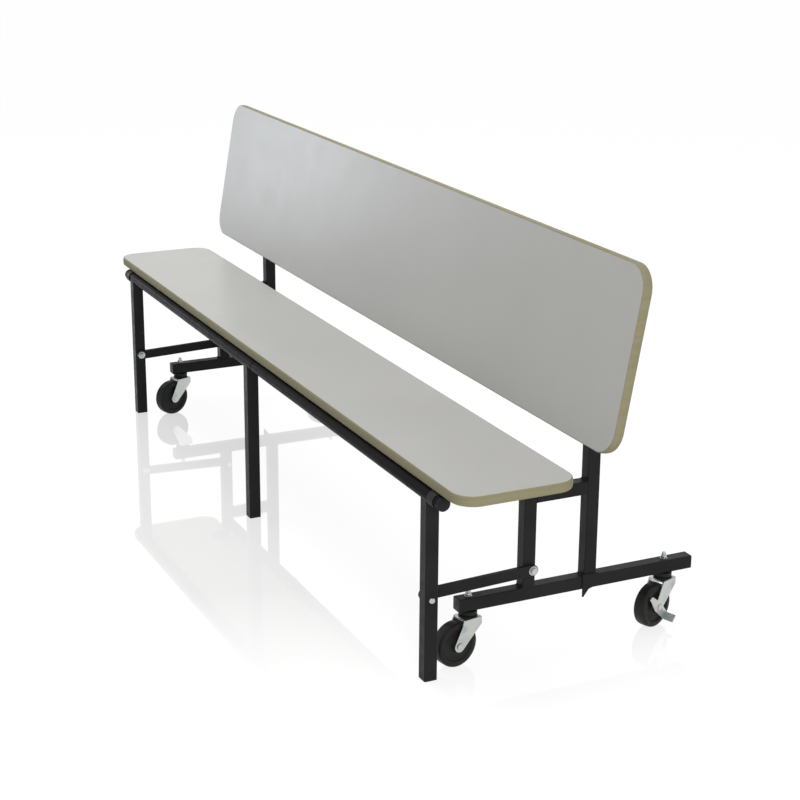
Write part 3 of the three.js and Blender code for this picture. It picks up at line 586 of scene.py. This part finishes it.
joints = {joint["name"]: joint for joint in frame["joints"]}
hinge_line = Vector(joints["leg_fold"]["pos_m"])
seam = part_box("front_tube_right")[0].x
for name, side in SIDES.items():
    node = f"front_tube_{name}"
    low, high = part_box(node)
    radius = (high.z - low.z) / 2
    bore = radius - PIPE_WALL
    length = (high.x if side > 0 else -low.x) - seam
    wall = [
        (bore, 0),
        (radius - PIPE_CHAMFER, 0),
        (radius, PIPE_CHAMFER),
        (radius, length - PIPE_CHAMFER),
        (radius - PIPE_CHAMFER, length),
        (bore, length),
        (bore, 0),
    ]
    start = (side * seam, hinge_line.y, hinge_line.z)
    parts = [turned(wall, start, (side, 0, 0), steps=64)]
    if side < 0:
        reach = high.x
        outer = bore - SPIGOT_PLAY
        inner = outer - PIPE_WALL
        ring = [(inner, 0), (outer, 0), (outer, 2 * reach), (inner, 2 * reach), (inner, 0)]
        spigot_start = (-reach, hinge_line.y, hinge_line.z)
        parts.append(turned(ring, spigot_start, (1, 0, 0), steps=48))
    piece = new_piece(f"painted_{node}", gather(parts), pipe_paint)
    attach(piece, "leg_frame")
    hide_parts(node)

    plug = [
        (0, -CAP_DEPTH),
        (bore - CAP_PLAY, -CAP_DEPTH),
        (bore - CAP_PLAY, 0),
        (radius + CAP_LIP, 0),
        (radius + CAP_LIP, CAP_RIM),
    ]
    dome = [(radius * share, height) for share, height in CAP_DOME]
    end = (side * (seam + length), hinge_line.y, hinge_line.z)
    cap = turned(plug + dome, end, (side, 0, 0), steps=48)
    cap_piece = new_piece(f"tube_end_cap_{name}", cap, black_plastic)
    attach(cap_piece, "leg_frame")

# Front legs
# Three square steel legs are coped and welded to the front tube, and swing with it.
# Moulded plastic glides close their feet.
GLIDE_EASE = 0.001

for name in ("left", "centre", "right"):
    eased_copy(f"leg_{name}", black_paint, "leg_frame")
    glide = eased_copy(f"foot_glide_{name}", black_plastic, "leg_frame", GLIDE_EASE)

# Links and pivot hardware
# Flat steel bars tie the end legs to the front uprights. Each pivot has a button head bolt,
# a washer and a hexagon nut, all zinc plated.
LINK_EASE = 0.001
WASHER_RADIUS = 0.0105
WASHER_THICKNESS = 0.0012
WASHER_EDGE = 0.0002
WASHER_PLAY = 0.0003
NUT_FLATS = 0.013
NUT_HEIGHT = 0.0052
NUT_CHAMFER = 0.0006
BOLT_HEAD = 0.005
BOLT_SHANK = 0.004
BOLT_TIP = 0.0008
BUTTON_FLAT = 0.35
BUTTON_CROWN = 0.0002
SEAT_GAP = 0.0002
# Button head from its flat crown to its rim, as shares of its radius and its rise
BUTTON_HEAD = [(0.72, 0.22), (0.95, 0.6), (1, 1)]

for name in SIDES:
    link = eased_copy(f"link_{name}", black_paint, f"link_{name}_body", LINK_EASE)


def hexagon_nut(place, axis, flats, height):
    """A hexagon nut with chamfered corners that sits on a surface at place."""
    shape = bmesh.new()
    corner = flats / math.sqrt(3)
    bmesh.ops.create_cone(
        shape,
        cap_ends=True,
        segments=6,
        radius1=corner,
        radius2=corner,
        depth=height,
        matrix=Matrix.Translation((0, 0, height / 2)),
    )
    rims = [edge for edge in shape.edges if rise(edge) < height / 2]
    round_over(shape, rims, NUT_CHAMFER, segments=2)
    set_along(shape, place, axis)
    return shape


def washer(place, axis, radius, hole):
    """A flat ring that sits on a surface at place."""
    ring = [
        (hole, 0),
        (radius, 0),
        (radius, WASHER_THICKNESS - WASHER_EDGE),
        (radius - WASHER_EDGE, WASHER_THICKNESS),
        (hole, WASHER_THICKNESS),
        (hole, 0),
    ]
    return turned(ring, place, axis, steps=32)


def button_bolt(node, body, towards, rise_of_head, shank):
    """A bolt with a domed head in place of a plain solid, with its thread towards an end of X."""
    low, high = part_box(node)
    middle = (low + high) / 2
    head = (high.y - low.y) / 2
    length = high.x - low.x
    profile = [(0, 0), (head * BUTTON_FLAT, BUTTON_CROWN)]
    profile += [(head * across, rise_of_head * down) for across, down in BUTTON_HEAD]
    profile += [
        (shank, rise_of_head),
        (shank, length - BOLT_TIP),
        (shank - BOLT_TIP, length),
        (0, length),
    ]
    start = (low.x if towards > 0 else high.x, middle.y, middle.z)
    piece = new_piece(f"button_{node}", turned(profile, start, (towards, 0, 0), steps=32), zinc)
    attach(piece, body)
    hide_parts(node)
    return middle


def washer_and_nut(name, place, axis, body):
    """A washer on a surface at place, with a nut on it."""
    on_washer = Vector(place) + Vector(axis) * WASHER_THICKNESS
    parts = [
        washer(place, axis, WASHER_RADIUS, BOLT_SHANK + WASHER_PLAY),
        hexagon_nut(on_washer, axis, NUT_FLATS, NUT_HEIGHT),
    ]
    piece = new_piece(name, gather(parts), zinc)
    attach(piece, body)


for name, side in SIDES.items():
    low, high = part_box(f"link_{name}")
    outer = high.x + SEAT_GAP if side > 0 else low.x - SEAT_GAP
    inner = low.x - SEAT_GAP if side > 0 else high.x + SEAT_GAP
    bolt = button_bolt(f"link_upright_bolt_{name}", "frame", side, BOLT_HEAD, BOLT_SHANK)
    outer_place = (outer, bolt.y, bolt.z)
    washer_and_nut(f"link_upright_nut_{name}", outer_place, (side, 0, 0), "frame")
    bolt = button_bolt(f"link_leg_bolt_{name}", "leg_frame", -side, BOLT_HEAD, BOLT_SHANK)
    inner_place = (inner, bolt.y, bolt.z)
    washer_and_nut(f"link_leg_nut_{name}", inner_place, (-side, 0, 0), "leg_frame")
    button_bolt(f"seat_hinge_pin_{name}", "frame", side, BOLT_HEAD, BOLT_SHANK)

# Back panel
# The back is a second laminated board with the same vinyl band, leaning back a little.
# It lies level as a table top when it is swung over on its brackets.
BACK_CORNER = 0.058

tilt = math.radians(90 - joints["back_flip"]["range_deg"][1])
back_low, back_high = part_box("back_edge_band")
foot_height = back_low.z + board_thickness * math.sin(tilt)
panel_height = (back_high.z - foot_height) / math.cos(tilt)
lean = Matrix.Translation((0, back_low.y, foot_height)) @ Matrix.Rotation(-tilt, 4, "X")
upright_blank = Matrix.Rotation(math.pi / 2, 4, "X")
stand = lean @ Matrix.Translation((0, board_thickness, panel_height / 2)) @ upright_blank
back_size = (back_high.x - back_low.x, panel_height, BACK_CORNER, board_thickness)
back_panel = board_core("laminated_back_panel", *back_size, stand)
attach(back_panel, "back")
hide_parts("back_panel")
back_band = board_band("back_vinyl_band", *back_size, stand)
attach(back_band, "back")
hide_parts("back_edge_band")

# Back rail and swing brackets
# A square tube runs along the panel's rear between two plate brackets, which turn on a large
# bolt through the pivot plate of each rear upright. Screws hold the bracket flanges to the panel.
PIVOT_HEAD = 0.006
PIVOT_SHANK = 0.006
PIVOT_NUT_FLATS = 0.019
PIVOT_NUT_HEIGHT = 0.0062
FLANGE_BACK = 0.0263
FLANGE_SHIFT = 0.003
FLANGE_SCREW_OFFSETS = (-0.06, -0.022, 0.022, 0.06)

eased_copy("back_rail", black_paint, "back")
pivot = Vector(joints["back_flip"]["pos_m"])
up_panel = (lean.inverted() @ pivot).z
flange_screws = []
for name, side in SIDES.items():
    eased_copy(f"back_swing_bracket_{name}", black_paint, "back")
    low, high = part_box(f"back_swing_bracket_{name}")
    flange_middle = (low.x + high.x) / 2 + side * FLANGE_SHIFT
    for offset in FLANGE_SCREW_OFFSETS:
        flange_screws.append(lean @ Vector((flange_middle, FLANGE_BACK, up_panel + offset)))
    bolt = button_bolt(f"back_pivot_bolt_{name}", "frame", side, PIVOT_HEAD, PIVOT_SHANK)
    low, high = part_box(f"back_pivot_plate_{name}")
    outer = high.x if side > 0 else low.x
    nut_place = (outer + side * SEAT_GAP, bolt.y, bolt.z)
    nut = hexagon_nut(nut_place, (side, 0, 0), PIVOT_NUT_FLATS, PIVOT_NUT_HEIGHT)
    nut_piece = new_piece(f"back_pivot_nut_{name}", nut, zinc)
    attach(nut_piece, "frame")
screw_set("back_screws", flange_screws, lean.to_3x3() @ Vector((0, 1, 0)), "back")

# Casters
# Each caster has a black swivel head on a threaded stem that a nut clamps through the base rail,
# a pressed zinc fork, a hard black wheel on a riveted axle, and a brake lever at the rear.
UPWARDS = Vector((0, 0, 1))
STEM_RADIUS = 0.0045
STEM_TIP = 0.001
STEM_WASHER = 0.0085
STEM_NUT_FLATS = 0.013
STEM_NUT_HEIGHT = 0.0065
RACE_INNER = 0.0176
RACE_OUTER = 0.0206
RACE_TOP = 0.0033
RACE_CHAMFER = 0.001
FORK_EASE = 0.0012
LEVER_EASE = 0.0008
# Swivel head as (radius, level, height above that level), from the rivet up to the rail
SWIVEL_HEAD = [
    (0, "rivet", 0),
    (0.006, "rivet", 0),
    (0.008, "rivet", 0.0015),
    (0.008, "fork", -0.0034),
    (0.005, "fork", -0.0034),
    (0.005, "fork", 0.0003),
    (0.0160, "fork", 0.0003),
    (0.0172, "fork", 0.0040),
    (0.0196, "fork", 0.0062),
    (0.0200, "fork", 0.0080),
    (0.0200, "rail", -0.0016),
    (0.0190, "rail", -0.0003),
    (0, "rail", -0.0003),
]
# Half of the wheel as (radius, half width), from its bore out to its tread
HALF_WHEEL = [
    (0.0053, 0.0172),
    (0.0125, 0.0172),
    (0.0142, 0.0164),
    (0.0150, 0.0130),
    (0.0165, 0.0112),
    (0.0190, 0.0107),
    (0.0320, 0.0107),
    (0.0352, 0.0114),
    (0.0366, 0.0138),
    (0.0382, 0.0150),
    (0.0440, 0.0150),
    (0.0468, 0.0143),
    (0.0488, 0.0126),
    (0.0497, 0.0100),
    (0.0500, 0.0060),
]
# One end of the axle as (radius, distance in from the end), from its rivet head to its shank
AXLE_END = [(0, 0), (0.004, 0.0003), (0.0072, 0.0018), (0.008, 0.004), (0.005, 0.004)]

rubber, tree, shader = new_finish("hard_black_rubber")
worn = mottle(tree, noise(tree, scale=26, detail=5), (20, 19, 19), (29, 28, 27))
# The rubber is mixed to a paler grey along its rounded edges.
pale_edged_rubber = blend_tone(tree, pale_edges(tree, width=0.002, amount=0.5), worn, tone(60, 58, 56))
lay_on(tree, shader, pale_edged_rubber, span(tree, noise(tree, scale=70, detail=4), low=0.38, high=0.62))
shader.inputs["Specular IOR Level"].default_value = 0.2
roughen(tree, shader, noise(tree, scale=600, detail=3), depth=0.0001)

for place in ("front_left", "front_right", "rear_left", "rear_right"):
    end, name = place.split("_")
    carrier = f"caster_{place}"
    post = Vector(joints[f"swivel_{place}"]["pos_m"])
    hub = Vector(joints[f"wheel_{place}_spin"]["pos_m"])
    spin_axis = Vector(joints[f"wheel_{place}_spin"]["axis"])
    rail_low, rail_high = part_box(f"base_rail_{name}")
    fork_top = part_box(f"caster_fork_{place}")[1].z
    head_low, head_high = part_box(f"caster_head_{place}")
    on_floor = Vector((post.x, post.y, 0))

    levels = {"rivet": head_low.z, "fork": fork_top, "rail": rail_low.z}
    head = [(radius, levels[level] + height) for radius, level, height in SWIVEL_HEAD]
    head_shape = turned(head, on_floor, UPWARDS, steps=48)
    head_piece = new_piece(f"swivel_head_{place}", head_shape, black_plastic)
    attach(head_piece, "frame")
    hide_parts(f"caster_head_{place}")

    stem = [
        (0, rail_low.z),
        (STEM_RADIUS, rail_low.z),
        (STEM_RADIUS, head_high.z - STEM_TIP),
        (STEM_RADIUS - STEM_TIP, head_high.z),
        (0, head_high.z),
    ]
    on_rail = Vector((post.x, post.y, rail_high.z + SEAT_GAP))
    on_washer = on_rail + UPWARDS * WASHER_THICKNESS
    stem_parts = [
        turned(stem, on_floor, UPWARDS, steps=24),
        washer(on_rail, UPWARDS, STEM_WASHER, STEM_RADIUS + WASHER_PLAY),
        hexagon_nut(on_washer, UPWARDS, STEM_NUT_FLATS, STEM_NUT_HEIGHT),
    ]
    stem_piece = new_piece(f"stem_and_nut_{place}", gather(stem_parts), zinc)
    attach(stem_piece, "frame")

    race = [
        (RACE_INNER, 0),
        (RACE_OUTER, 0),
        (RACE_OUTER, RACE_TOP - RACE_CHAMFER),
        (RACE_OUTER - RACE_CHAMFER, RACE_TOP),
        (RACE_INNER, RACE_TOP),
        (RACE_INNER, 0),
    ]
    # The race takes the frame's black paint; its dark tone is partly the race's own finish and
    # partly painted shade under the swivel head.
    race_shape = turned(race, (post.x, post.y, fork_top), UPWARDS, steps=48)
    race_piece = new_piece(f"swivel_race_{place}", race_shape, black_paint)
    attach(race_piece, carrier)
    eased_copy(f"caster_fork_{place}", zinc, carrier, FORK_EASE)

    wheel = [(radius, -along) for radius, along in HALF_WHEEL] + HALF_WHEEL[::-1]
    wheel_shape = turned(wheel + wheel[:1], hub, spin_axis, steps=96)
    wheel_piece = new_piece(f"rubber_wheel_{place}", wheel_shape, rubber)
    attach(wheel_piece, f"wheel_{place}")
    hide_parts(f"caster_wheel_{place}")

    axle_node = f"caster_axle_{place}"
    reach = [(vertex.co - hub).dot(spin_axis) for vertex in nodes[axle_node].data.vertices]
    first, last = min(reach), max(reach)
    axle = [(radius, first + inwards) for radius, inwards in AXLE_END]
    axle += [(radius, last - inwards) for radius, inwards in AXLE_END[::-1]]
    axle_shape = turned(axle, hub, spin_axis, steps=32)
    axle_piece = new_piece(f"riveted_{axle_node}", axle_shape, zinc)
    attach(axle_piece, carrier)
    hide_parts(axle_node)
    if end == "rear":
        lever = eased_copy(f"brake_lever_{place}", zinc, f"brake_{place}", LEVER_EASE)

# Studio
# A polished white floor that keeps soft shadows and mirrors the left end most, a large soft lamp
# above, one beside the right end, a cooler one at the left front, and an even white surround.
FLOOR_SIZE = 60
FLOOR_GLOW = 0.9
FLOOR_POLISH = 0.03
FLOOR_INDEX = 1.8
MIRROR_FADE = (1.0, -0.3, 0)
MIRROR_SPAN = (0.55, 1.25)
MIRROR_GAIN = (1.25, 0.08)
SURROUND_LIGHT = 0.42


def seen_rays(tree):
    """1 for rays from the camera and for mirrored rays, and 0 for the rest."""
    rays = tree.nodes.new("ShaderNodeLightPath")
    either = add_node(tree, "ShaderNodeMath", operation="MAXIMUM")
    tree.links.new(rays.outputs["Is Camera Ray"], either.inputs[0])
    tree.links.new(rays.outputs["Is Glossy Ray"], either.inputs[1])
    return either.outputs[0]


floor_paint, tree, shader = new_finish("studio_floor")
white = add_node(tree, "ShaderNodeEmission", {"Strength": FLOOR_GLOW})
shaded = add_node(tree, "ShaderNodeBsdfDiffuse", {"Color": tone(110, 110, 110)})
mirror = add_node(tree, "ShaderNodeBsdfGlossy", {"Color": (1, 1, 1, 1), "Roughness": FLOOR_POLISH})
plain = add_node(tree, "ShaderNodeBsdfDiffuse", {"Color": tone(195, 195, 195)})
lit = tree.nodes.new("ShaderNodeAddShader")
tree.links.new(white.outputs["Emission"], lit.inputs[0])
tree.links.new(shaded.outputs["BSDF"], lit.inputs[1])
along = add_node(tree, "ShaderNodeVectorMath", {1: MIRROR_FADE}, operation="DOT_PRODUCT")
tree.links.new(tree.nodes.new("ShaderNodeTexCoord").outputs["Object"], along.inputs[0])
fade = add_node(
    tree,
    "ShaderNodeMapRange",
    {
        "From Min": MIRROR_SPAN[0],
        "From Max": MIRROR_SPAN[1],
        "To Min": MIRROR_GAIN[0],
        "To Max": MIRROR_GAIN[1],
    },
)
tree.links.new(along.outputs["Value"], fade.inputs["Value"])
sheen = add_node(tree, "ShaderNodeFresnel", {"IOR": FLOOR_INDEX})
share = add_node(tree, "ShaderNodeMath", operation="MULTIPLY")
tree.links.new(sheen.outputs["Fac"], share.inputs[0])
tree.links.new(fade.outputs["Result"], share.inputs[1])
sheen_mix = tree.nodes.new("ShaderNodeMixShader")
tree.links.new(share.outputs[0], sheen_mix.inputs["Fac"])
tree.links.new(lit.outputs["Shader"], sheen_mix.inputs[1])
tree.links.new(mirror.outputs["BSDF"], sheen_mix.inputs[2])
shown = tree.nodes.new("ShaderNodeMixShader")
tree.links.new(seen_rays(tree), shown.inputs["Fac"])
tree.links.new(plain.outputs["BSDF"], shown.inputs[1])
tree.links.new(sheen_mix.outputs["Shader"], shown.inputs[2])
tree.links.new(shown.outputs["Shader"], tree.nodes["Material Output"].inputs["Surface"])
tree.nodes.remove(shader)
floor_shape = bmesh.new()
bmesh.ops.create_grid(floor_shape, x_segments=1, y_segments=1, size=FLOOR_SIZE / 2)
floor = new_piece("studio_floor", floor_shape, floor_paint, smooth=False)

world = bpy.data.worlds.new("studio")
world.use_nodes = True
bpy.context.scene.world = world
tree = world.node_tree
surround = add_node(tree, "ShaderNodeMapRange", {"To Min": SURROUND_LIGHT, "To Max": 1.0})
tree.links.new(seen_rays(tree), surround.inputs["Value"])
tree.links.new(surround.outputs["Result"], tree.nodes["Background"].inputs["Strength"])
tree.nodes["Background"].inputs["Color"].default_value = (1, 1, 1, 1)


def soft_lamp(name, place, aim, size, power, colour):
    """A rectangular lamp at a place, turned towards its aim."""
    lamp = bpy.data.lights.new(name, "AREA")
    lamp.shape = "RECTANGLE"
    lamp.size, lamp.size_y = size
    lamp.energy = power
    lamp.color = colour
    holder = bpy.data.objects.new(name, lamp)
    bpy.context.scene.collection.objects.link(holder)
    turn = (Vector(aim) - Vector(place)).to_track_quat("-Z", "Y").to_matrix().to_4x4()
    holder.matrix_world = Matrix.Translation(place) @ turn
    return holder


soft_lamp(
    "top_lamp",
    place=(-0.9, -0.45, 4.8),
    aim=(0, 0, 0.5),
    size=(3, 3),
    power=168,
    colour=(1, 0.99, 0.98),
)
right_lamp = soft_lamp(
    "right_lamp",
    place=(4.6, -0.9, 1.5),
    aim=(0.8, 0, 0.6),
    size=(1.6, 1.6),
    power=105,
    colour=(1, 0.98, 0.95),
)
soft_lamp(
    "left_lamp",
    place=(-4.5, -1.75, 0.9),
    aim=(-0.8, 0, 0.7),
    size=(0.4, 1.2),
    power=13,
    colour=(0.84, 0.91, 1),
)
# The right lamp is kept out of mirrored rays, so that the boards don't glare from the left end.
right_lamp.visible_glossy = False

bpy.context.scene.view_settings.view_transform = "Standard"
